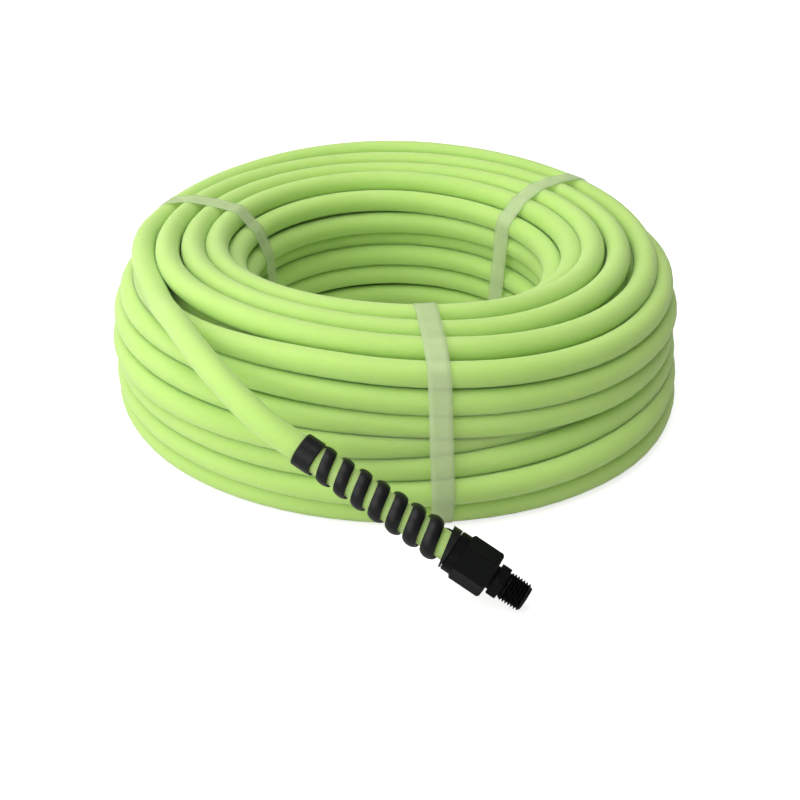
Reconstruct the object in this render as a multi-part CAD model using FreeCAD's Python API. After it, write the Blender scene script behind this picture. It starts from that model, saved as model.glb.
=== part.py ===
import FreeCAD, Part
import math
import os

from FreeCAD import Vector

# A 1/4 in air hose, 30.48 m long, wound into a low ring and held by three tapes.
# Millimetres. +Z is up, the front is -Y, and the origin is on the ring's axis at the floor.

# Hose
hose_diameter = 12.7
hose_bore = 6.35
cover_wall = 1.55
braid_wall = 0.6
bond_line = 0.05

# Ring of turns, as radii and heights of the outermost turns' centres
eye_radius = 84.5
foot_radius = 152.0
shoulder_radius = 144.5
crown_radius = 112.0
inner_top_height = 68.0
crown_height = 82.0
shoulder_height = 79.5
foot_rounding = 18.0
inner_top_rounding = 16.0
crown_rounding = 40.0
largest_rounding_share = 0.48
whole_turns = 16
winding_start_angle = 115.0
winding_end_angle = 203.0
settling_angle = 120.0
start_rise = 3.2
core_gap = 0.6

# Tapes
tape_thickness = 0.4
tape_width = 11.0
tape_gap = 0.4
tape_angles = {"front_tape": 277.0, "right_tape": 44.0, "left_tape": 160.0}

# Hose end, as distances along its axis from the back of the restrictor's collar
restrictor_clearance = 0.5
collar_length = 9.0
collar_diameter = 15.6
collar_edge = 0.6
strand_start = 5.5
strand_end = 75.0
strand_pitch = 9.12
strand_start_angle = 215.0
strand_start_width = 5.3
strand_end_width = 6.8
strand_start_diameter = 15.5
strand_end_diameter = 18.6
strand_relief = 0.1
strand_side_share = 0.45
ring_diameter = 18.7
ring_middle = 76.4
ring_end = 79.0
ring_slant = 10.9
ring_slant_angle = 116.0
flange_diameter = 16.8
flange_thickness = 2.0
flange_lip = 0.9
flange_neck_length = 2.2
nut_back = 79.2
nut_length = 20.5
nut_across_flats = 19.05
nut_skirt_length = 4.5
nut_skirt_diameter = 18.9
nut_skirt_edge = 0.6
nut_corner_trim = 0.15
nut_chamfer = 0.9
nut_mouth_gap = 0.3
nut_thread_clearance = 0.08
neck_length = 1.5
neck_diameter = 11.2
small_hex_across_flats = 14.29
small_hex_length = 4.45
small_hex_edge = 0.5
small_hex_trim = 0.1
barrel_diameter = 16.0
barrel_length = 8.5
barrel_setback = 0.3
barrel_mouth = 1.5
barb_diameter = 6.3
barb_root_diameter = 5.5
barb_length = 16.0
barb_count = 4
stem_root_length = 2.0
fitting_bore = 4.0
pipe_thread_diameter = 13.6
pipe_thread_length = 11.5
pipe_thread_taper = 1.0 / 16.0
pipe_thread_chamfer = 1.2
ferrule_length = 6.8
ferrule_wall = 1.1
ferrule_taper = 0.7
ferrule_slit = 1.0
ferrule_gap = 0.15
hose_end_gap = 0.3

# Middle of the tip of each pipe thread: angle about the ring, reach past its wall, and height
front_tip_angle = 283.64
front_tip_reach = 77.46
front_tip_height = 6.8
front_heading = Vector(0.8321, -0.3504, -0.4300)
rear_tip_angle = 51.79
rear_tip_reach = 104.6
rear_tip_height = 7.2
rear_heading = Vector(0.930, 0.249, -0.270)

# Corners of the free stretches between the ring and the straight ends, chosen by hand, as angle,
# reach past the wall, and height. Each stretch leaves the ring square to its cut face, and runs into
# its collar in line with it.
straight_after_ring = 14.0
front_route = [(221.2, 2.2, 79.5), (237.0, 22.0, 79.5)]
rear_route = [(94.8, 8.8, 67.5), (87.9, 16.0, 59.0)]
straight_before_collar = 22.0

up = Vector(0, 0, 1)
hose_radius = hose_diameter / 2
bore_radius = hose_bore / 2
cover_inner_radius = hose_radius - cover_wall
braid_outer_radius = cover_inner_radius - bond_line
braid_inner_radius = braid_outer_radius - braid_wall
liner_outer_radius = braid_inner_radius - bond_line
foot_height = tape_thickness + tape_gap + hose_radius
nut_front = nut_back + nut_length
hex_back = nut_front + neck_length
thread_back = hex_back + small_hex_length
tip_distance = thread_back + pipe_thread_length
barrel_back = nut_front - barrel_length
hose_end = barrel_back - hose_end_gap
flange_neck_radius = flange_diameter / 2 - flange_lip
hex_corner = 2 / math.sqrt(3)


def wall_radius(height):
    """Radius of the line through the outer wall's turns."""
    share = (shoulder_height - height) / (shoulder_height - foot_height)
    return shoulder_radius + (foot_radius - shoulder_radius) * share


def beside_wall(angle, reach, height):
    radius = wall_radius(height) + reach
    return Vector(
        radius * math.cos(math.radians(angle)), radius * math.sin(math.radians(angle)), height
    )


def rounded_loop(corners):
    """Straight and arc spans, anticlockwise or clockwise, through corners (r, z, rounding)."""
    spans = []
    count = len(corners)
    cuts = []
    for index, (r, z, rounding) in enumerate(corners):
        here = Vector(r, 0, z)
        before = Vector(corners[index - 1][0], 0, corners[index - 1][1]) - here
        after_corner = corners[(index + 1) % count]
        after = Vector(after_corner[0], 0, after_corner[1]) - here
        half_angle = before.getAngle(after) / 2
        room = largest_rounding_share * min(before.Length, after.Length)
        reach = min(rounding / math.tan(half_angle), room)
        rounding = reach * math.tan(half_angle)
        before.normalize()
        after.normalize()
        inward = (before + after).normalize()
        centre = here + inward * (rounding / math.sin(half_angle))
        cuts.append((here + before * reach, centre, here + after * reach, rounding))
    for index in range(count):
        first, centre, last, rounding = cuts[index]
        spans.append(("arc", first, last, centre, rounding))
        spans.append(("line", last, cuts[(index + 1) % count][0], None, 0.0))
    return spans


def span_length(span):
    kind, first, last, centre, rounding = span
    if kind == "line":
        return first.distanceToPoint(last)
    return rounding * (first - centre).getAngle(last - centre)


def span_point(span, distance):
    kind, first, last, centre, rounding = span
    share = distance / span_length(span)
    if kind == "line":
        return first + (last - first) * share
    angle = (first - centre).getAngle(last - centre)
    start = first - centre
    finish = last - centre
    weight_start = math.sin((1 - share) * angle) / math.sin(angle)
    weight_finish = math.sin(share * angle) / math.sin(angle)
    return centre + start * weight_start + finish * weight_finish


def ring_corners():
    """Corners of the line through the outermost turns' centres, from the foot inwards."""
    return [
        (foot_radius, foot_height, foot_rounding),
        (eye_radius, foot_height, foot_rounding),
        (eye_radius, inner_top_height, inner_top_rounding),
        (crown_radius, crown_height, crown_rounding),
        (shoulder_radius, shoulder_height, foot_rounding),
    ]


ring_spans = rounded_loop(ring_corners())
ring_length = sum(span_length(span) for span in ring_spans)
last_turn_share = (winding_end_angle - winding_start_angle) / 360.0
total_turns = whole_turns + last_turn_share
crowded_pitch = ring_length / (whole_turns + 1)
loose_pitch = ring_length / whole_turns


def winding_pitch(angle):
    """Spacing of the turns: close where both ends lie side by side, wider elsewhere."""
    span = winding_end_angle - winding_start_angle
    past = (angle - winding_start_angle) % 360
    away = min(max(past - span, 0), 360 - past) if past > span else 0
    settled = (1 - math.cos(math.pi * min(away / settling_angle, 1))) / 2
    return crowded_pitch + (loose_pitch - crowded_pitch) * settled


def ring_point(distance):
    """Point of the outermost turns' line, counted from near the top of the wall, going down."""
    start = sum(span_length(span) for span in ring_spans[:9])
    along = (start - start_rise + distance) % ring_length
    for span in ring_spans:
        length = span_length(span)
        if along <= length:
            return span_point(span, along)
        along -= length
    return span_point(ring_spans[-1], span_length(ring_spans[-1]))


def winding_point(turns):
    degrees = winding_start_angle + 360 * turns
    angle = math.radians(degrees)
    flat = ring_point(winding_pitch(degrees) * turns)
    return Vector(flat.x * math.cos(angle), flat.x * math.sin(angle), flat.z)


def winding_heading(turns):
    step = 0.0005
    return (winding_point(turns + step) - winding_point(turns - step)).normalize()


def arc_from_tangent(start, heading, finish):
    """Circular arc from start, leaving along heading, to finish, and the heading at finish."""
    chord = finish - start
    middle = (start + finish) * 0.5
    across = chord - heading * chord.dot(heading)
    if across.Length < 1e-6 * chord.Length:
        return Part.LineSegment(start, finish), Vector(heading)
    across.normalize()
    radius = chord.dot(chord) / (2 * chord.dot(across))
    centre = start + across * radius
    bulge = (middle - centre).normalize()
    arc = Part.Arc(start, centre + bulge * radius, finish)
    end_heading = chord * (2 * chord.dot(heading) / chord.dot(chord)) - heading
    return arc, end_heading.normalize()


def biarc(start, start_heading, finish, finish_heading):
    """Two arcs with one shared tangent, leaving and arriving along the given headings."""
    chord = finish - start
    both = start_heading + finish_heading
    a = 2 * (1 - start_heading.dot(finish_heading))
    b = 2 * chord.dot(both)
    c = -chord.dot(chord)
    reach = (-b + math.sqrt(b * b - 4 * a * c)) / (2 * a) if abs(a) > 1e-9 else -c / b
    joint = (start + finish + (start_heading - finish_heading) * reach) * 0.5
    first, joint_heading = arc_from_tangent(start, start_heading, joint)
    second, _ = arc_from_tangent(joint, joint_heading, finish)
    return [first, second]


def pipe(path, radius, start, heading):
    shell = Part.BRepOffsetAPI.MakePipeShell(path)
    shell.add(Part.Wire(Part.makeCircle(radius, start, heading)))
    shell.build()
    shell.makeSolid()
    return shell.shape()


def winding_curves():
    """Quarter-turn biarcs through the outer layer, with a straight stub at each end."""
    quarters = math.ceil(total_turns * 4)
    knots = [min(index / 4, total_turns) for index in range(quarters + 1)]
    curves = []
    stub = winding_heading(0) * hose_diameter
    curves.append(Part.LineSegment(winding_point(0) - stub, winding_point(0)))
    for first, last in zip(knots, knots[1:]):
        curves += biarc(
            winding_point(first), winding_heading(first), winding_point(last), winding_heading(last)
        )
    stub = winding_heading(total_turns) * hose_diameter
    curves.append(Part.LineSegment(winding_point(total_turns), winding_point(total_turns) + stub))
    return curves


def winding_start():
    return winding_point(0) - winding_heading(0) * hose_diameter


def winding_end():
    return winding_point(total_turns) + winding_heading(total_turns) * hose_diameter


def print_winding_gap(curves):
    """Least gap between points of the winding that are more than a third of a turn apart."""
    points = []
    step = 4.0
    travelled = 0.0
    for curve in curves:
        length = curve.length()
        pieces = max(2, math.ceil(length / step))
        for index in range(pieces):
            share = index / pieces
            parameter = curve.FirstParameter + share * (curve.LastParameter - curve.FirstParameter)
            points.append((travelled + share * length, curve.value(parameter)))
        travelled += length
    apart = eye_radius * 2
    least = min(
        a[1].distanceToPoint(b[1])
        for index, a in enumerate(points)
        for b in points[index + 1:]
        if b[0] - a[0] > apart and abs(a[1].z - b[1].z) < 2 * hose_diameter
    )
    print(f"winding: {total_turns:.2f} turns, length {travelled:.0f} mm, "
          f"pitch {crowded_pitch:.2f} to {loose_pitch:.2f} mm, least gap to itself {least - hose_diameter:.2f} mm")


def hose_winding():
    curves = winding_curves()
    print_winding_gap(curves)
    start = winding_start()
    path = Part.Wire([curve.toShape() for curve in curves])
    solid = pipe(path, hose_radius, start, winding_heading(0))
    expected = math.pi * hose_radius**2 * path.Length
    print(f"winding volume over section times length: {solid.Volume / expected:.4f}")
    return solid


def loop_wire(outward):
    """The ring's loop moved outwards, as a wire in the XZ half plane."""
    edges = []
    for kind, first, last, centre, rounding in ring_spans:
        if kind == "line":
            along = (last - first).normalize()
            normal = Vector(-along.z, 0, along.x)
            shift = normal * outward
            edges.append(Part.LineSegment(first + shift, last + shift).toShape())
        else:
            grow = (rounding + outward) / rounding
            a = centre + (first - centre) * grow
            b = centre + (last - centre) * grow
            bulge = ((first - centre) + (last - centre)).normalize()
            m = centre + bulge * (rounding + outward)
            edges.append(Part.Arc(a, m, b).toShape())
    return Part.Wire(edges)


def hose_core():
    """The inner turns, as one plain ring inside the outer layer."""
    face = Part.Face(loop_wire(-hose_radius - core_gap))
    return face.revolve(Vector(0, 0, 0), up, 360)


def tape(angle):
    """A thin band round the ring's section."""
    inner = loop_wire(hose_radius + tape_gap)
    outer = loop_wire(hose_radius + tape_gap + tape_thickness)
    section = Part.Face(outer).cut(Part.Face(inner))
    band = section.extrude(Vector(0, tape_width, 0))
    band.translate(Vector(0, -tape_width / 2, 0))
    band.rotate(Vector(0, 0, 0), up, angle)
    return band


def route_curves(points):
    """Straight runs joined by arcs that take 0.45 of the shorter run at each corner."""
    curves = []
    radii = []
    here = points[0]
    for index in range(1, len(points) - 1):
        corner = points[index]
        before = points[index - 1] - corner
        after = points[index + 1] - corner
        cut = 0.45 * min(before.Length, after.Length)
        turn = math.pi - before.getAngle(after)
        radii.append(cut / math.tan(turn / 2))
        before.normalize()
        after.normalize()
        first = corner + before * cut
        last = corner + after * cut
        sideways = (before + after).normalize()
        centre = corner + sideways * (radii[-1] / math.cos(turn / 2))
        middle = centre - sideways * radii[-1]
        curves.append(Part.LineSegment(here, first))
        curves.append(Part.Arc(first, middle, last))
        here = last
    curves.append(Part.LineSegment(here, points[-1]))
    return curves, radii


def end_point(tip, heading, distance):
    """Point on a hose end's axis, the distance counted from the back of its collar."""
    return tip - heading * (tip_distance - distance)


def tail_points(start, leaving, route, tip, heading):
    return (
        [start, start + leaving * straight_after_ring]
        + [beside_wall(angle, reach, height) for angle, reach, height in route]
        + [end_point(tip, heading, -straight_before_collar), end_point(tip, heading, hose_end)]
    )


def tail_layers(name, start, leaving, route, tip, heading):
    """Cover, braid and liner of one free stretch, as three tubes inside each other."""
    points = tail_points(start, leaving, route, tip, heading)
    curves, radii = route_curves(points)
    path = Part.Wire([curve.toShape() for curve in curves])
    print(f"{name}: length {path.Length:.1f} mm, radii "
          + ", ".join(f"{radius:.0f}" for radius in radii))
    print(f"{name} route: " + ", ".join(f"({p.x:.1f}, {p.y:.1f}, {p.z:.1f})" for p in points + [tip]))
    layers = {
        "cover": (hose_radius, cover_inner_radius),
        "braid": (braid_outer_radius, braid_inner_radius),
        "liner": (liner_outer_radius, bore_radius),
    }
    solids = {}
    for layer, (outer, inner) in layers.items():
        solid = pipe(path, outer, start, leaving).cut(pipe(path, inner, start, leaving))
        expected = math.pi * (outer**2 - inner**2) * path.Length
        print(f"{name} {layer}: volume over section times length {solid.Volume / expected:.4f}")
        solids[f"{name}_hose_{layer}"] = solid
    return solids


def turned(points):
    """Solid turned about Z from (radius, height) points."""
    outline = [Vector(radius, 0, height) for radius, height in points]
    face = Part.Face(Part.makePolygon(outline + [outline[0]]))
    return face.revolve(Vector(0, 0, 0), up, 360)


def hexagon(across_flats, back, length):
    corner = across_flats / 2 * hex_corner
    points = [
        Vector(corner * math.cos(math.radians(60 * k)), corner * math.sin(math.radians(60 * k)), back)
        for k in range(6)
    ]
    return Part.Face(Part.makePolygon(points + [points[0]])).extrude(up * length)


def strand_section(width, diameter):
    """Section of the strand: flat inside, where it wraps the hose, and crowned outside."""
    inner = hose_radius + restrictor_clearance + strand_relief
    outer = diameter / 2
    side = inner + (outer - inner) * strand_side_share
    foot_back = Vector(inner, 0, -width / 2)
    side_back = Vector(side, 0, -width / 2)
    side_front = Vector(side, 0, width / 2)
    foot_front = Vector(inner, 0, width / 2)
    return Part.Wire([
        Part.LineSegment(foot_back, side_back).toShape(),
        Part.Arc(side_back, Vector(outer, 0, 0), side_front).toShape(),
        Part.LineSegment(side_front, foot_front).toShape(),
        Part.LineSegment(foot_front, foot_back).toShape(),
    ])


def strand():
    """Helical strand of the restrictor, which grows wider and taller towards the nut."""
    height = strand_end - strand_start
    helix = Part.makeHelix(strand_pitch, height, hose_radius + restrictor_clearance + strand_relief)
    first = strand_section(strand_start_width, strand_start_diameter)
    last = strand_section(strand_end_width, strand_end_diameter)
    last.rotate(Vector(0, 0, 0), up, 360 * height / strand_pitch)
    last.translate(Vector(0, 0, height))
    solid = Part.Wire(helix.Edges).makePipeShell([first, last], True, True)
    solid.rotate(Vector(0, 0, 0), up, strand_start_angle)
    solid.translate(Vector(0, 0, strand_start))
    return solid


def restrictor_ring():
    """Ring that the strand runs into, its back face slanted as the slot ends there."""
    inner = hose_radius + restrictor_clearance
    reach = ring_diameter
    ring = turned([
        (inner, ring_middle - reach / 4), (ring_diameter / 2, ring_middle - reach / 4),
        (ring_diameter / 2, ring_end), (inner, ring_end),
    ])
    slot = Part.makeBox(2 * reach, 2 * reach, reach, Vector(-reach, -reach, -reach))
    slot.rotate(Vector(0, 0, 0), Vector(0, 1, 0), ring_slant)
    slot.rotate(Vector(0, 0, 0), up, ring_slant_angle)
    slot.translate(up * ring_middle)
    return ring.cut(slot)


def bend_restrictor():
    """Collar, helical strand, ring and the flange that the nut holds."""
    inner = hose_radius + restrictor_clearance
    collar_radius = collar_diameter / 2
    collar = turned([
        (inner, 0), (collar_radius - collar_edge, 0), (collar_radius, collar_edge),
        (collar_radius, collar_length - collar_edge), (collar_radius - collar_edge, collar_length),
        (inner, collar_length),
    ])
    flange_back = nut_back + flange_neck_length
    flange = turned([
        (inner, ring_end - 1), (flange_neck_radius, ring_end - 1), (flange_neck_radius, flange_back),
        (flange_diameter / 2, flange_back), (flange_diameter / 2, flange_back + flange_thickness),
        (inner, flange_back + flange_thickness),
    ])
    # Half a turn round, its seam is clear of the strand's end.
    flange.rotate(Vector(0, 0, 0), up, 180)
    return collar.fuse(strand()).fuse(restrictor_ring()).fuse(flange).removeSplitter()


def ferrule_radius(distance):
    """Outer radius of the ferrule's cone."""
    widest = hose_radius + ferrule_gap + ferrule_wall
    return widest - ferrule_taper * (hose_end - distance) / ferrule_length


def split_ferrule():
    back = hose_end - ferrule_length
    inner = hose_radius + ferrule_gap
    cone = turned([
        (inner, back), (ferrule_radius(back), back),
        (ferrule_radius(hose_end), hose_end), (inner, hose_end),
    ])
    slit = Part.makeBox(hose_diameter, ferrule_slit, ferrule_length + 2)
    slit.translate(Vector(0, -ferrule_slit / 2, back - 1))
    return cone.cut(slit)


def compression_nut():
    """Hexagon with a round skirt, a flange pocket, a ferrule cone and its thread."""
    rim = nut_across_flats / 2 * hex_corner - nut_corner_trim
    skirt = nut_skirt_diameter / 2
    skirt_front = nut_back + nut_skirt_length
    envelope = turned([
        (0, nut_back), (skirt - nut_skirt_edge, nut_back), (skirt, nut_back + nut_skirt_edge),
        (skirt, skirt_front), (rim, skirt_front + nut_chamfer), (rim, nut_front - nut_chamfer),
        (rim - nut_chamfer, nut_front), (0, nut_front),
    ])
    blank = hexagon(nut_across_flats, nut_back, nut_length).common(envelope)
    flange_back = nut_back + flange_neck_length
    flange_front = flange_back + flange_thickness
    neck_radius = flange_neck_radius + nut_mouth_gap
    pocket_radius = flange_diameter / 2 + nut_mouth_gap
    ferrule_back = hose_end - ferrule_length
    thread_radius = barrel_diameter / 2 + nut_thread_clearance
    cavity = turned([
        (0, nut_back - 1), (neck_radius, nut_back - 1), (neck_radius, flange_back - nut_mouth_gap),
        (pocket_radius, flange_back - nut_mouth_gap), (pocket_radius, flange_front + nut_mouth_gap),
        (ferrule_radius(ferrule_back) + nut_mouth_gap, flange_front + nut_mouth_gap),
        (ferrule_radius(ferrule_back) + nut_mouth_gap, ferrule_back),
        (thread_radius, hose_end - barrel_mouth), (thread_radius, nut_front + 1), (0, nut_front + 1),
    ])
    return blank.cut(cavity)


def barbs():
    """Outline of the barbed stem, from its end to its root."""
    stem_back = barrel_back - barb_length
    step = (barb_length - stem_root_length) / barb_count
    points = []
    for index in range(barb_count):
        back = stem_back + index * step
        points.append((barb_root_diameter / 2, back))
        points.append((barb_diameter / 2, back + step * 0.8))
        points.append((barb_diameter / 2, back + step * 0.95))
        points.append((barb_root_diameter / 2, back + step))
    return points


def barb_fitting():
    """Barbed stem, threaded barrel, neck, small hexagon and tapered pipe thread."""
    bore = fitting_bore / 2
    barrel_radius = barrel_diameter / 2
    root = pipe_thread_diameter / 2
    tip_radius = root - pipe_thread_taper * pipe_thread_length / 2
    core = turned(
        [(bore, barrel_back - barb_length)] + barbs()
        + [
            (barb_root_diameter / 2, barrel_back), (barrel_radius, barrel_back),
            (barrel_radius, nut_front - barrel_setback),
            (neck_diameter / 2, nut_front - barrel_setback),
            (neck_diameter / 2, thread_back), (root, thread_back),
            (tip_radius, tip_distance - pipe_thread_chamfer),
            (tip_radius - pipe_thread_chamfer, tip_distance), (bore, tip_distance),
        ]
    )
    rim = small_hex_across_flats / 2 * hex_corner - small_hex_trim
    limit = turned([
        (bore, hex_back), (rim - small_hex_edge, hex_back), (rim, hex_back + small_hex_edge),
        (rim, thread_back - small_hex_edge), (rim - small_hex_edge, thread_back), (bore, thread_back),
    ])
    hexagonal = hexagon(small_hex_across_flats, hex_back, small_hex_length).common(limit)
    return core.fuse(hexagonal).removeSplitter()


def end_pieces(name, tip, heading):
    """The fitting, nut, ferrule and restrictor of one end, placed on its axis."""
    makers = {
        "bend_restrictor": bend_restrictor,
        "compression_nut": compression_nut,
        "split_ferrule": split_ferrule,
        "barb_fitting": barb_fitting,
    }
    turn = FreeCAD.Rotation(up, heading)
    place = FreeCAD.Placement(end_point(tip, heading, 0), turn)
    pieces = {}
    for part_name, make in makers.items():
        solid = make()
        solid.Placement = place
        pieces[f"{name}_{part_name}"] = solid
    return pieces


def main():
    os.makedirs("parts", exist_ok=True)
    front_heading.normalize()
    rear_heading.normalize()
    pieces = {"hose_winding": hose_winding(), "hose_core": hose_core()}
    for name, angle in tape_angles.items():
        pieces[name] = tape(angle)
    forward = winding_heading(total_turns)
    backward = -winding_heading(0)
    front_tip = beside_wall(front_tip_angle, front_tip_reach, front_tip_height)
    rear_tip = beside_wall(rear_tip_angle, rear_tip_reach, rear_tip_height)
    pieces.update(
        tail_layers("front", winding_end(), forward, front_route, front_tip, front_heading)
    )
    pieces.update(
        tail_layers("rear", winding_start(), backward, rear_route, rear_tip, rear_heading)
    )
    pieces.update(end_pieces("front", front_tip, front_heading))
    pieces.update(end_pieces("rear", rear_tip, rear_heading))
    for name, solid in pieces.items():
        box = solid.BoundBox
        print(f"{name}: solids {len(solid.Solids)}, valid {solid.isValid()}, volume {solid.Volume:.0f}, "
              f"z {box.ZMin:.2f} to {box.ZMax:.2f}")
        solid.exportStep(f"parts/{name}.step")


main()
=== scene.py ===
import math
import bmesh
import bpy
import numpy as np
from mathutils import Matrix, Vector


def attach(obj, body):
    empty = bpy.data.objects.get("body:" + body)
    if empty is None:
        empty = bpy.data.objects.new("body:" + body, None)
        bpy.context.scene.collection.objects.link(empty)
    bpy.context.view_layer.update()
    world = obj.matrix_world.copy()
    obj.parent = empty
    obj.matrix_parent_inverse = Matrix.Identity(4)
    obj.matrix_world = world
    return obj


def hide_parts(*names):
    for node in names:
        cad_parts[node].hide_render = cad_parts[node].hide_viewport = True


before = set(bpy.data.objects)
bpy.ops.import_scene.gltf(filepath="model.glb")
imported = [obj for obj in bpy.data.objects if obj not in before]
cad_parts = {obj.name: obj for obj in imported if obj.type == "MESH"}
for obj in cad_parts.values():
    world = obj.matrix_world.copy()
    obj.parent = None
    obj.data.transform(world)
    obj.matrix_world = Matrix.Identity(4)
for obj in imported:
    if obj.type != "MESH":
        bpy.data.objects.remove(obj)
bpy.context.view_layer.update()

# A 1/4 in air hose of 30.48 m, wound into a low ring, held by three frosted bands, with a black
# compression fitting and a spiral bend restrictor on each end. Metres.
mm = 0.001

# Hose
hose_diameter = 12.7 * mm
hose_radius = hose_diameter / 2
steps_between_points = 5
steps_round_hose = 8

# Winding: where the hose lies in the ring's section after so many turns, as turns, radius and height
# in mm. It starts at the back, runs anticlockwise, and has a point wherever it rises, dips or bulges.
start_angle = 115.0
end_angle = 203.0
whole_turns = 41
points_per_turn = 16
floor_height = 7.15
outer_wall = [
    (0.00, 147.5, 68.0), (0.10, 141.5, 66.0), (0.18, 139.5, 65.0), (0.27, 138.8, 67.0),
    (0.325, 140.5, 73.5), (0.36, 142.5, 79.5), (0.43, 143.4, 73.8), (0.52, 143.6, 66.0),
    (0.60, 143.2, 61.5), (0.68, 142.3, 65.0),
    (1.00, 149.0, 56.0), (1.12, 144.0, 58.5), (1.27, 146.0, 65.0), (1.36, 146.0, 66.0),
    (1.43, 146.5, 60.8), (1.53, 146.5, 50.8), (1.60, 147.0, 52.8), (1.68, 144.8, 50.5),
    (2.00, 149.0, 44.0), (2.20, 148.0, 51.0), (2.28, 153.5, 54.0), (2.35, 152.5, 54.0),
    (2.43, 148.0, 48.2), (2.57, 148.0, 39.0), (2.68, 143.0, 38.0),
    (3.00, 142.0, 36.5), (3.20, 149.0, 42.0), (3.27, 157.5, 41.5), (3.33, 160.0, 42.0),
    (3.40, 158.0, 41.5), (3.48, 143.0, 38.5), (3.68, 137.5, 31.5),
    (4.00, 146.0, 30.0), (4.20, 149.0, 31.0), (4.30, 156.5, 31.5), (4.38, 158.5, 31.0),
    (4.45, 153.5, 29.5), (4.52, 150.5, 28.5), (4.62, 147.0, 28.0), (4.68, 144.5, 27.5),
    (5.00, 151.0, 19.0), (5.20, 149.5, 19.0), (5.29, 156.5, 19.2), (5.40, 160.0, 18.6),
    (5.50, 161.5, 19.0), (5.56, 158.5, 19.5), (5.62, 149.5, 20.0), (5.68, 145.0, 19.2),
    (6.00, 146.0, floor_height), (6.24, 151.5, floor_height), (6.33, 156.5, floor_height),
    (6.42, 155.5, floor_height), (6.49, 158.5, floor_height), (6.54, 162.0, floor_height),
    (6.60, 154.5, floor_height), (6.66, 145.5, floor_height),
]
inside = [
    (7.20, 141.5, floor_height), (12.30, 138.0, 66.0), (13.40, 126.5, 67.0),
    (18.55, 127.0, floor_height), (19.65, 113.5, floor_height), (24.65, 113.0, 65.0),
    (25.75, 99.5, 61.0), (30.40, 98.5, floor_height),
]
eye_wall = [
    (31.65, 82.0, floor_height), (31.93, 82.0, floor_height), (32.93, 84.0, 21.0),
    (33.93, 84.5, 33.3), (34.93, 91.5, 43.8), (35.93, 85.0, 54.6),
]
# The layer on top is counted from where it leaves the eye's wall
top_layer_start = 36.6805
top_layer = [
    (0.00, 85.8, 61.5), (0.17, 87.0, 64.7), (0.25, 88.0, 67.7), (0.33, 89.0, 69.0),
    (0.50, 90.5, 69.0), (0.75, 93.0, 73.5), (0.92, 94.5, 70.5),
    (1.15, 97.0, 73.0), (1.25, 98.5, 76.3), (1.50, 99.5, 78.5), (1.66, 101.0, 83.0),
    (1.75, 101.5, 82.0), (1.87, 103.0, 76.5),
    (2.00, 106.0, 76.0), (2.25, 110.5, 76.8), (2.31, 111.0, 78.6), (2.50, 111.5, 80.5),
    (2.67, 115.0, 84.5), (2.75, 116.0, 80.8), (2.83, 117.2, 75.5),
    (3.00, 119.7, 75.5), (3.25, 126.0, 78.8), (3.50, 125.0, 80.5), (3.67, 129.0, 84.0),
    (3.75, 130.0, 79.5), (3.88, 131.5, 68.5),
    (4.00, 134.0, 69.0), (4.15, 141.0, 77.3), (4.25, 142.0, 82.0), (4.34, 141.0, 81.0),
    (4.43, 137.0, 77.0), (4.50, 140.5, 77.0), (4.5644, 143.6, 77.5),
]
course = outer_wall + inside + eye_wall + [
    (top_layer_start + turns, radius, height) for turns, radius, height in top_layer
]
total_turns = whole_turns + (end_angle - start_angle) / 360

# Settling: in each pass, turns closer than the pressed diameter, in mm, push each other apart, and are
# smoothed and pulled back towards the course. The turns in sight are held, and those inside yield.
settling_passes = 60
pressed_diameter = 12.1
push_share = 0.4
smoothing_share = 0.12
hold_in_sight = 0.35
hold_inside = 0.01
# The layer behind the outer wall stands out where the ring is fullest, in degrees, mm and turns
fullest_angle = 232.0
fullness = 9.0
fullness_spread = 45.0
fullness_end = 11.5

# Free stretches between the ring and the straight ends, by listed points, in metres
rear_route = [
    (-0.0372, 0.1430, 0.0681),
    (-0.0129, 0.1540, 0.0675),
    (0.0060, 0.1625, 0.0590),
    (0.0293, 0.1670, 0.0448),
]
front_route = [
    (-0.1185, -0.0793, 0.0762),
    (-0.1104, -0.0966, 0.0795),
    (-0.0907, -0.1396, 0.0795),
    (-0.0617, -0.1743, 0.0666),
]
front_tip = Vector((0.05412, -0.22302, 0.0068))
front_heading = Vector((0.8321, -0.3504, -0.4300)).normalized()
rear_tip = Vector((0.15871, 0.20162, 0.0072))
rear_heading = Vector((0.930, 0.249, -0.270)).normalized()

# Hose end, as distances along its axis from the back of the restrictor's collar
tip_distance = 117.15 * mm
hose_end_distance = 90.9 * mm
stem_back = 75.2 * mm
straight_points = (4 * mm, 30 * mm, 60 * mm, hose_end_distance)
barrel_back = 91.2 * mm
barrel_front = 99.4 * mm
small_hex_back = 101.2 * mm
small_hex_front = 105.65 * mm

# Fitting
bore_radius = 2.0 * mm
bore_chamfer = 0.4 * mm
barb_root_radius = 2.75 * mm
barb_radius = 3.15 * mm
barb_count = 4
plain_stem = 2 * mm
neck_radius = 5.6 * mm
small_hex_across_flats = 14.29 * mm
small_hex_rim = 8.15 * mm
small_hex_edge = 0.5 * mm
barrel_radius = 7.95 * mm
barrel_chamfer = 0.6 * mm
barrel_chamfer_length = 0.4 * mm
barrel_pitch = 1.5 * mm
barrel_thread_depth = 0.85 * mm
barrel_rows = 44
pipe_thread_radius = 6.8 * mm
pipe_thread_pitch = 25.4 * mm / 18
pipe_thread_depth = 1.05 * mm
pipe_thread_slope = 1 / 32
pipe_thread_start = small_hex_front + 0.9 * mm
pipe_thread_lead_in = 1.2 * mm
pipe_thread_lead_out = 1.5 * mm
pipe_thread_end_height = 0.35
pipe_thread_rows = 72
neck_end = small_hex_front + 0.7 * mm
tip_chamfer = 1.0 * mm
# A thread's crest and its root each take this share of its pitch, and its ends fade over so many turns
thread_flat = 0.12
thread_fade = 0.6
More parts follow.
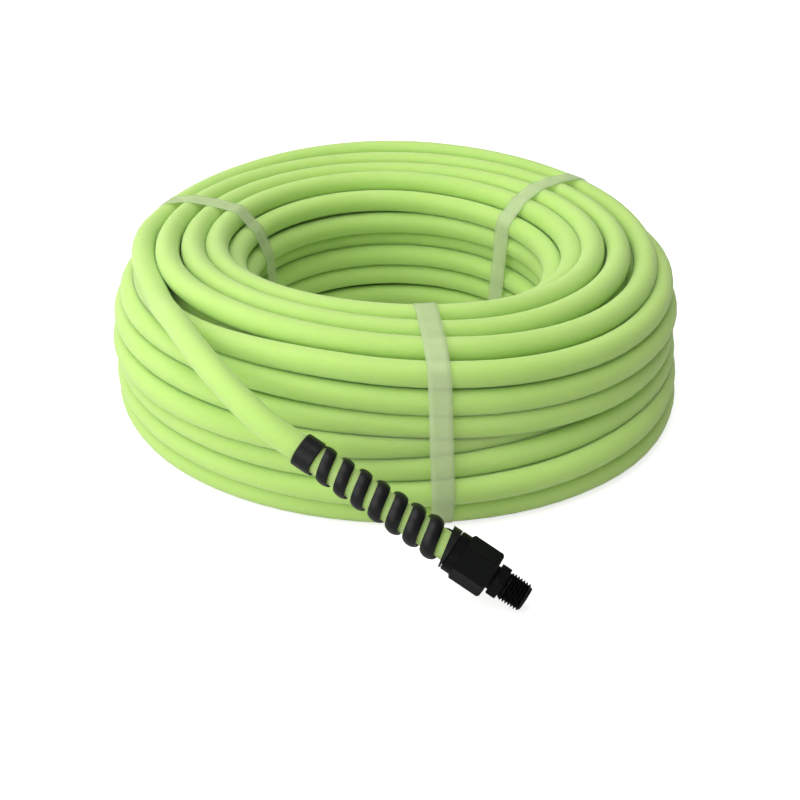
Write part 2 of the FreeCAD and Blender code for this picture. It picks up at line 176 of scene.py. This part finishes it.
# Where a barb starts to rise, reaches its crest and drops again, as shares of its length
barb_profile = ((0.05, barb_root_radius), (0.8, barb_radius), (0.95, barb_radius), (1.0, barb_root_radius))
fitting_columns = 96
fitting_merge_distance = 0.001 * mm
fitting_sharp_angle = math.radians(32)

# Bands
band_width = 11.0 * mm
band_thickness = 0.35 * mm
band_gap = 0.25 * mm
band_strips = 4
band_bend_step = math.radians(8)
band_merge_distance = 0.01 * mm
band_angles = {"front_tape": 277.0, "right_tape": 40.5, "left_tape": 161.5}

# Camera, in metres, degrees above the floor and mm of lens and film
camera_place = (0.00034, -0.6613, 0.3557)
camera_elevation = 29.784
camera_focal_length = 58.28
camera_film_width = 36.0

# Studio: the sky is brighter overhead and to the left, and each soft box is square and faces the ring
sky_strength = 0.38
sky_slope = (-0.3, -0.04, 0.22)
sweep_width = 6.0
sweep_glow = 0.7
lit_point = Vector((0, 0, 0.04))
soft_boxes = {
    "key_box": {"place": (-1.2, -1.15, 0.68), "width": 1.9, "power": 20.5},
    "top_box": {"place": (-0.3, -0.1, 1.6), "width": 1.4, "power": 12.5},
}


def linear(hex_colour):
    """sRGB hex value as linear red, green, blue and full alpha."""
    channels = [int(hex_colour[i:i + 2], 16) / 255 for i in (1, 3, 5)]
    return tuple(
        c / 12.92 if c <= 0.04045 else ((c + 0.055) / 1.055) ** 2.4 for c in channels
    ) + (1.0,)


def add_node(tree, kind, settings=None, links=None):
    """Add one node, set its sockets and properties, and link its inputs."""
    node = tree.nodes.new(kind)
    for name, value in (settings or {}).items():
        if isinstance(name, str) and hasattr(node, name):
            setattr(node, name, value)
        else:
            node.inputs[name].default_value = value
    for name, source in (links or {}).items():
        tree.links.new(source, node.inputs[name])
    return node


# A noise's scale counts its cells in a metre, so 1400 is a grain of 0.7 mm. The real grain of moulded
# and extruded plastic is finer than these, which are as coarse as they need to be to show.
def new_material(name):
    """A material with an empty tree, its output node and the piece's own coordinates."""
    material = bpy.data.materials.new(name)
    material.use_nodes = True
    tree = material.node_tree
    tree.nodes.clear()
    output = tree.nodes.new("ShaderNodeOutputMaterial")
    place = tree.nodes.new("ShaderNodeTexCoord")
    return material, tree, output, place.outputs["Object"]


def extruded_hose_cover():
    """Soft extruded polymer of the hose's cover: matt, lets some light through, faintly uneven green."""
    material, tree, output, place = new_material("extruded_polymer_cover")
    cloud = add_node(
        tree, "ShaderNodeTexNoise",
        {"Scale": 18.0, "Detail": 3.0, "Roughness": 0.55}, {"Vector": place},
    )
    shade = add_node(tree, "ShaderNodeMix", {"data_type": "RGBA"}, {"Factor": cloud.outputs["Fac"]})
    shade.inputs[6].default_value = linear("#B4D876")
    shade.inputs[7].default_value = linear("#C0E184")
    grain = add_node(
        tree, "ShaderNodeTexNoise",
        {"Scale": 1400.0, "Detail": 4.0, "Roughness": 0.6}, {"Vector": place},
    )
    bump = add_node(
        tree, "ShaderNodeBump",
        {"Strength": 0.25, "Distance": 0.2 * mm}, {"Height": grain.outputs["Fac"]},
    )
    surface = add_node(
        tree, "ShaderNodeBsdfPrincipled",
        {"Roughness": 0.6, "IOR": 1.48, "Specular IOR Level": 0.22, "Subsurface Weight": 0.9,
         "Sheen Weight": 0.15, "Sheen Roughness": 0.5,
         "Subsurface Radius": (1.0, 0.9, 0.4), "Subsurface Scale": 9.0 * mm},
        {"Base Color": shade.outputs[2], "Normal": bump.outputs["Normal"]},
    )
    tree.links.new(surface.outputs[0], output.inputs["Surface"])
    return material


def frosted_film():
    """Cast polyethylene film of the bands: thin and cloudy, and greys what lies under it."""
    material, tree, output, place = new_material("frosted_polyethylene_film")
    cloud = add_node(
        tree, "ShaderNodeTexNoise",
        {"Scale": 160.0, "Detail": 5.0, "Roughness": 0.65}, {"Vector": place},
    )
    shade = add_node(tree, "ShaderNodeMix", {"data_type": "RGBA"}, {"Factor": cloud.outputs["Fac"]})
    shade.inputs[6].default_value = linear("#D2E0AE")
    shade.inputs[7].default_value = linear("#E2EEC4")
    bump = add_node(
        tree, "ShaderNodeBump",
        {"Strength": 0.3, "Distance": 0.3 * mm}, {"Height": cloud.outputs["Fac"]},
    )
    surface = add_node(
        tree, "ShaderNodeBsdfPrincipled",
        {"Roughness": 0.42, "IOR": 1.5, "Alpha": 0.4},
        {"Base Color": shade.outputs[2], "Normal": bump.outputs["Normal"]},
    )
    tree.links.new(surface.outputs[0], output.inputs["Surface"])
    return material


def moulded_black_plastic():
    """Moulded nylon of the bend restrictor: near black, with a soft gloss and a fine grain."""
    material, tree, output, place = new_material("moulded_black_nylon")
    grain = add_node(
        tree, "ShaderNodeTexNoise",
        {"Scale": 900.0, "Detail": 3.0, "Roughness": 0.6}, {"Vector": place},
    )
    bump = add_node(
        tree, "ShaderNodeBump",
        {"Strength": 0.15, "Distance": 0.2 * mm}, {"Height": grain.outputs["Fac"]},
    )
    gloss = add_node(
        tree, "ShaderNodeMapRange", {"To Min": 0.32, "To Max": 0.44}, {"Value": grain.outputs["Fac"]},
    )
    surface = add_node(
        tree, "ShaderNodeBsdfPrincipled",
        {"Base Color": linear("#050606"), "IOR": 1.5, "Specular IOR Level": 0.3},
        {"Roughness": gloss.outputs[0], "Normal": bump.outputs["Normal"]},
    )
    tree.links.new(surface.outputs[0], output.inputs["Surface"])
    return material


def black_anodised_metal():
    """Anodised aluminium, dyed black after turning: satin, with faint tool marks."""
    material, tree, output, place = new_material("black_anodised_aluminium")
    marks = add_node(
        tree, "ShaderNodeTexNoise",
        {"Scale": 500.0, "Detail": 4.0, "Roughness": 0.6}, {"Vector": place},
    )
    bump = add_node(
        tree, "ShaderNodeBump",
        {"Strength": 0.12, "Distance": 0.2 * mm}, {"Height": marks.outputs["Fac"]},
    )
    polish = add_node(
        tree, "ShaderNodeMapRange", {"To Min": 0.3, "To Max": 0.46}, {"Value": marks.outputs["Fac"]},
    )
    surface = add_node(
        tree, "ShaderNodeBsdfPrincipled",
        {"Base Color": linear("#060707"), "IOR": 1.5, "Specular IOR Level": 0.1},
        {"Roughness": polish.outputs[0], "Normal": bump.outputs["Normal"]},
    )
    tree.links.new(surface.outputs[0], output.inputs["Surface"])
    return material


def turned_brass():
    """Turned brass of the split ferrules: yellow metal, slightly dull."""
    material, tree, output, place = new_material("turned_brass")
    marks = add_node(
        tree, "ShaderNodeTexNoise",
        {"Scale": 700.0, "Detail": 3.0, "Roughness": 0.5}, {"Vector": place},
    )
    polish = add_node(
        tree, "ShaderNodeMapRange", {"To Min": 0.25, "To Max": 0.45}, {"Value": marks.outputs["Fac"]},
    )
    surface = add_node(
        tree, "ShaderNodeBsdfPrincipled",
        {"Base Color": linear("#C9A24E"), "Metallic": 1.0}, {"Roughness": polish.outputs[0]},
    )
    tree.links.new(surface.outputs[0], output.inputs["Surface"])
    return material


def hold(turns):
    """How firmly a point keeps to the course."""
    if turns < inside[0][0] or turns > eye_wall[0][0]:
        return hold_in_sight
    return hold_inside


def settled_turns():
    """The winding's points as turns, and as radius and height in mm, once they have settled."""
    count = int(total_turns * points_per_turn) + 1
    turns = np.arange(count) / points_per_turn
    along, radii, heights = np.array(course).T
    planned = np.stack([np.interp(turns, along, radii), np.interp(turns, along, heights)], axis=1)
    second_layer = (turns > inside[0][0]) & (turns < fullness_end)
    from_fullest = (start_angle + 360 * turns - fullest_angle + 180) % 360 - 180
    planned[:, 0] += second_layer * fullness * np.exp(-((from_fullest / fullness_spread) ** 2))
    firmness = np.array([hold(turn) for turn in turns])[:, None]
    settled = planned.copy()
    for _ in range(settling_passes):
        push = np.zeros_like(settled)
        for first in range(points_per_turn):
            here = settled[first::points_per_turn]
            apart = here[:, None, :] - here[None, :, :]
            distance = np.linalg.norm(apart, axis=2) + np.eye(len(here)) * 2 * pressed_diameter
            overlap = np.clip(pressed_diameter - distance, 0, None) / distance
            push[first::points_per_turn] += (apart * overlap[:, :, None]).sum(axis=1) * push_share
        settled += push
        settled += (planned - settled) * firmness
        between = (settled[:-2] + settled[2:]) / 2
        settled[1:-1] += smoothing_share * (between - settled[1:-1])
        settled[:, 1] = np.maximum(settled[:, 1], floor_height)
    return turns, settled


def section_at(angle):
    """Radius and height, in metres, of every turn at one angle about the ring."""
    points = []
    turn = ((angle - start_angle) % 360) / 360
    while turn <= turns_along[-1]:
        radius = np.interp(turn, turns_along, turns_section[:, 0])
        height = np.interp(turn, turns_along, turns_section[:, 1])
        points.append((radius * mm, height * mm))
        turn += 1
    return points


def end_point(tip, heading, distance):
    """Place on a hose end's axis, at a distance from the back of its collar."""
    return tip - heading * (tip_distance - distance)


def hose_route():
    """Control points of the whole hose, from the rear fitting through the winding to the front one."""
    reach = 1 / math.cos(math.pi / points_per_turn)
    points = []
    for distance in reversed(straight_points):
        points.append(end_point(rear_tip, rear_heading, distance))
    points += [Vector(p) for p in reversed(rear_route)]
    for turn, (radius, height) in zip(turns_along, turns_section):
        angle = math.radians(start_angle + 360 * turn)
        out = radius * mm * reach
        points.append(Vector((out * math.cos(angle), out * math.sin(angle), height * mm)))
    points += [Vector(p) for p in front_route]
    for distance in straight_points:
        points.append(end_point(front_tip, front_heading, distance))
    return points


def air_hose():
    """The whole hose, one open spline with a round section."""
    curve = bpy.data.curves.new("air_hose", "CURVE")
    curve.dimensions = "3D"
    spline = curve.splines.new("NURBS")
    points = hose_route()
    spline.points.add(len(points) - 1)
    for point, place in zip(spline.points, points):
        point.co = (*place, 1.0)
    spline.order_u = 3
    spline.use_endpoint_u = True
    spline.resolution_u = steps_between_points
    curve.bevel_depth = hose_radius
    curve.bevel_resolution = steps_round_hose
    curve.use_fill_caps = True
    hose = bpy.data.objects.new("air_hose", curve)
    bpy.context.scene.collection.objects.link(hose)
    curve.materials.append(cover_material)
    return hose


def hull(points):
    """Convex outline of points in the section, anticlockwise."""
    ordered = sorted(points)

    def half(sequence):
        line = []
        for point in sequence:
            while len(line) >= 2:
                (ax, az), (bx, bz) = line[-2], line[-1]
                if (bx - ax) * (point[1] - az) - (bz - az) * (point[0] - ax) > 0:
                    break
                line.pop()
            line.append(point)
        return line[:-1]

    return half(ordered) + half(reversed(ordered))


def band_outline(angle, reach):
    """Points of a tight band round the turns at one angle, as radius and height."""
    corners = hull(section_at(angle))
    outline = []
    count = len(corners)
    for index, (x, z) in enumerate(corners):
        before = corners[index - 1]
        after = corners[(index + 1) % count]
        first = math.atan2(-(x - before[0]), z - before[1])
        last = math.atan2(-(after[0] - x), after[1] - z)
        while last < first:
            last += 2 * math.pi
        steps = max(2, math.ceil((last - first) / band_bend_step))
        for step in range(steps + 1):
            turn = first + (last - first) * step / steps
            outline.append((x + reach * math.cos(turn), z + reach * math.sin(turn)))
    return outline


def band(name, angle):
    """One frosted band, its strip stretched round the turns at one angle."""
    outline = band_outline(angle, hose_radius + band_gap)
    ahead = Vector((math.cos(math.radians(angle)), math.sin(math.radians(angle)), 0))
    across = Vector((-ahead.y, ahead.x, 0))
    mesh = bmesh.new()
    rows = []
    for radius, height in outline:
        row = []
        for strip in range(band_strips + 1):
            side = (strip / band_strips - 0.5) * band_width
            row.append(mesh.verts.new(ahead * radius + across * side + Vector((0, 0, height))))
        rows.append(row)
    for index in range(len(rows)):
        here, there = rows[index], rows[(index + 1) % len(rows)]
        for strip in range(band_strips):
            mesh.faces.new((here[strip], here[strip + 1], there[strip + 1], there[strip]))
    bmesh.ops.remove_doubles(mesh, verts=mesh.verts, dist=band_merge_distance)
    bmesh.ops.recalc_face_normals(mesh, faces=mesh.faces)
    data = bpy.data.meshes.new(name + "_film")
    mesh.to_mesh(data)
    mesh.free()
    film = bpy.data.objects.new(name + "_film", data)
    bpy.context.scene.collection.objects.link(film)
    data.materials.append(film_material)
    thicken = film.modifiers.new("thickness", "SOLIDIFY")
    thicken.thickness = band_thickness
    thicken.offset = 1.0
    with bpy.context.temp_override(object=film, active_object=film, selected_objects=[film]):
        bpy.ops.object.modifier_apply(modifier=thicken.name)
    data.shade_smooth()
    return film


def thread_height(distance, angle, pitch, depth, start, finish):
    """How far a thread stands below its crest, with its first and last turn fading away."""
    phase = (distance / pitch - angle / (2 * math.pi)) % 1.0
    groove = abs(2 * phase - 1)
    cut = min(max((groove - thread_flat) / (1 - 2 * thread_flat), 0.0), 1.0)
    fade = min(distance - start, finish - distance) / (thread_fade * pitch)
    return depth * cut * min(max(fade, 0.0), 1.0)


def fitting_rows():
    """Rows of the fitting's surface: distance along the axis, radius and kind of row."""
    rows = [(stem_back, barb_root_radius, "round")]
    step = (barrel_back - stem_back - plain_stem) / barb_count
    for index in range(barb_count):
        back = stem_back + index * step
        for share, radius in barb_profile:
            rows.append((back + share * step, radius, "round"))
    rows += [
        (barrel_back, barb_root_radius, "round"),
        (barrel_back, barrel_radius - barrel_chamfer, "round"),
    ]
    thread_length = barrel_front - barrel_back - 2 * barrel_chamfer_length
    for index in range(barrel_rows + 1):
        distance = barrel_back + barrel_chamfer_length + thread_length * index / barrel_rows
        rows.append((distance, barrel_radius, "barrel"))
    rows += [
        (barrel_front, barrel_radius - barrel_chamfer, "round"),
        (barrel_front, neck_radius, "round"),
        (small_hex_back, neck_radius, "round"),
        (small_hex_back, small_hex_rim - small_hex_edge, "hexagon"),
        (small_hex_back + small_hex_edge, small_hex_rim, "hexagon"),
        (small_hex_front - small_hex_edge, small_hex_rim, "hexagon"),
        (small_hex_front, small_hex_rim - small_hex_edge, "hexagon"),
        (small_hex_front, neck_radius, "round"),
        (neck_end, neck_radius, "round"),
    ]
    thread_length = tip_distance - tip_chamfer - pipe_thread_start
    for index in range(pipe_thread_rows + 1):
        distance = pipe_thread_start + thread_length * index / pipe_thread_rows
        radius = pipe_thread_radius - pipe_thread_slope * (distance - small_hex_front)
        rows.append((distance, radius, "pipe"))
    rows += [
        (tip_distance, pipe_thread_radius - pipe_thread_depth - tip_chamfer / 2, "round"),
        (tip_distance, bore_radius + bore_chamfer, "round"),
        (tip_distance - bore_chamfer, bore_radius, "round"),
        (stem_back, bore_radius, "round"),
    ]
    return rows


def fitting_radius(distance, radius, kind, angle):
    """Radius of the fitting's surface at one place: round, six sided or threaded."""
    if kind == "hexagon":
        side = math.pi / 3
        from_flat = (angle + side / 2) % side - side / 2
        flat = small_hex_across_flats / 2 / math.cos(from_flat)
        return min(radius, flat)
    if kind == "barrel":
        return radius - thread_height(
            distance, angle, barrel_pitch, barrel_thread_depth, barrel_back, barrel_front,
        )
    if kind == "pipe":
        cut = thread_height(
            distance, angle, pipe_thread_pitch, pipe_thread_depth, pipe_thread_start, tip_distance,
        )
        lead = min(
            (distance - pipe_thread_start) / pipe_thread_lead_in,
            (tip_distance - distance) / pipe_thread_lead_out,
            1.0,
        )
        share = pipe_thread_end_height + (1 - pipe_thread_end_height) * lead
        return min(radius - cut, neck_radius + (radius - neck_radius) * share)
    return radius


def pipe_fitting(end, tip, heading):
    """Barbed stem, threaded barrel, small hexagon and tapered pipe thread: a grid wrapped round."""
    rows = fitting_rows()
    bpy.ops.object.select_all(action="DESELECT")
    bpy.ops.mesh.primitive_grid_add(x_subdivisions=len(rows), y_subdivisions=fitting_columns, size=2.0)
    fitting = bpy.context.object
    fitting.name = f"{end}_pipe_fitting"
    turn = Vector((0, 0, 1)).rotation_difference(heading)
    back = end_point(tip, heading, 0.0)
    mesh = bmesh.new()
    mesh.from_mesh(fitting.data)
    for vertex in mesh.verts:
        row = round((vertex.co.x + 1) / 2 * len(rows))
        column = round((vertex.co.y + 1) / 2 * fitting_columns)
        distance, radius, kind = rows[row % len(rows)]
        angle = 2 * math.pi * column / fitting_columns
        reach = fitting_radius(distance, radius, kind, angle)
        local = Vector((reach * math.cos(angle), reach * math.sin(angle), distance))
        vertex.co = back + turn @ local
    bmesh.ops.remove_doubles(mesh, verts=mesh.verts, dist=fitting_merge_distance)
    bmesh.ops.recalc_face_normals(mesh, faces=mesh.faces)
    mesh.to_mesh(fitting.data)
    mesh.free()
    fitting.data.materials.append(metal_material)
    bpy.ops.object.shade_smooth_by_angle(angle=fitting_sharp_angle)
    return fitting


cover_material = extruded_hose_cover()
film_material = frosted_film()
restrictor_material = moulded_black_plastic()
metal_material = black_anodised_metal()
brass_material = turned_brass()

turns_along, turns_section = settled_turns()
hose = air_hose()
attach(hose, "hose_and_fittings")
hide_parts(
    "hose_winding", "hose_core", "front_hose_cover", "rear_hose_cover",
    "front_hose_braid", "rear_hose_braid", "front_hose_liner", "rear_hose_liner",
)

for name, angle in band_angles.items():
    film = band(name, angle)
    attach(film, "hose_and_fittings")
    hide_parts(name)

finishes = {
    "bend_restrictor": restrictor_material,
    "compression_nut": metal_material,
    "split_ferrule": brass_material,
}
for end in ("front", "rear"):
    for part, material in finishes.items():
        node = bpy.data.objects[f"{end}_{part}"]
        for slot in node.material_slots:
            slot.material = material
for end, tip, heading in (("front", front_tip, front_heading), ("rear", rear_tip, rear_heading)):
    fitting = pipe_fitting(end, tip, heading)
    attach(fitting, "hose_and_fittings")
    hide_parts(f"{end}_barb_fitting")


def camera():
    """The camera of the photo, level from side to side and looking down at the ring."""
    data = bpy.data.cameras.new("camera")
    data.lens = camera_focal_length
    data.sensor_width = camera_film_width
    eye = bpy.data.objects.new("camera", data)
    eye.location = camera_place
    eye.rotation_euler = (math.radians(90 - camera_elevation), 0, 0)
    bpy.context.scene.collection.objects.link(eye)
    bpy.context.scene.camera = eye


def soft_box(name, place, width, power):
    """A square area lamp that faces the ring."""
    data = bpy.data.lights.new(name, "AREA")
    data.shape = "SQUARE"
    data.size = width
    data.energy = power
    lamp = bpy.data.objects.new(name, data)
    lamp.location = place
    lamp.rotation_euler = (lit_point - Vector(place)).to_track_quat("-Z", "Y").to_euler()
    bpy.context.scene.collection.objects.link(lamp)


def sky():
    """A pale sky that lights the ring unevenly, and is plain white where the camera sees it."""
    world = bpy.data.worlds.new("sky")
    bpy.context.scene.world = world
    world.use_nodes = True
    tree = world.node_tree
    tree.nodes.clear()
    output = tree.nodes.new("ShaderNodeOutputWorld")
    rays = tree.nodes.new("ShaderNodeLightPath")
    seen = add_node(
        tree, "ShaderNodeMath", {"operation": "MAXIMUM"},
        {0: rays.outputs["Is Camera Ray"], 1: rays.outputs["Is Transmission Ray"]},
    )
    direction = tree.nodes.new("ShaderNodeTexCoord")
    slope = add_node(
        tree, "ShaderNodeVectorMath", {"operation": "DOT_PRODUCT", 1: sky_slope},
        {0: direction.outputs["Generated"]},
    )
    strength = add_node(
        tree, "ShaderNodeMath", {"operation": "ADD", 1: sky_strength}, {0: slope.outputs["Value"]},
    )
    light = add_node(
        tree, "ShaderNodeBackground", {"Color": linear("#F2F4F5")}, {"Strength": strength.outputs[0]},
    )
    white = add_node(tree, "ShaderNodeBackground", {"Color": linear("#FFFFFF"), "Strength": 1.0})
    both = add_node(
        tree, "ShaderNodeMixShader", {}, {0: seen.outputs[0], 1: light.outputs[0], 2: white.outputs[0]},
    )
    tree.links.new(both.outputs[0], output.inputs["Surface"])


def paper_sweep():
    """White paper under the ring: it glows for the camera alone, and keeps the ring's shadow."""
    bpy.ops.object.select_all(action="DESELECT")
    bpy.ops.mesh.primitive_plane_add(size=sweep_width, location=(0, 0, 0))
    floor = bpy.context.object
    floor.name = "floor"
    material, tree, output, _ = new_material("white_paper_sweep")
    paper = add_node(tree, "ShaderNodeBsdfDiffuse", {"Color": linear("#D6D6D6")})
    glow = add_node(tree, "ShaderNodeEmission", {"Color": linear("#FFFFFF"), "Strength": sweep_glow})
    lit = add_node(tree, "ShaderNodeAddShader", {}, {0: paper.outputs[0], 1: glow.outputs[0]})
    rays = tree.nodes.new("ShaderNodeLightPath")
    seen = add_node(
        tree, "ShaderNodeMixShader", {},
        {0: rays.outputs["Is Camera Ray"], 1: paper.outputs[0], 2: lit.outputs[0]},
    )
    tree.links.new(seen.outputs[0], output.inputs["Surface"])
    floor.data.materials.append(material)


camera()
sky()
paper_sweep()
for name, box in soft_boxes.items():
    soft_box(name, **box)
bpy.context.scene.view_settings.view_transform = "Standard"
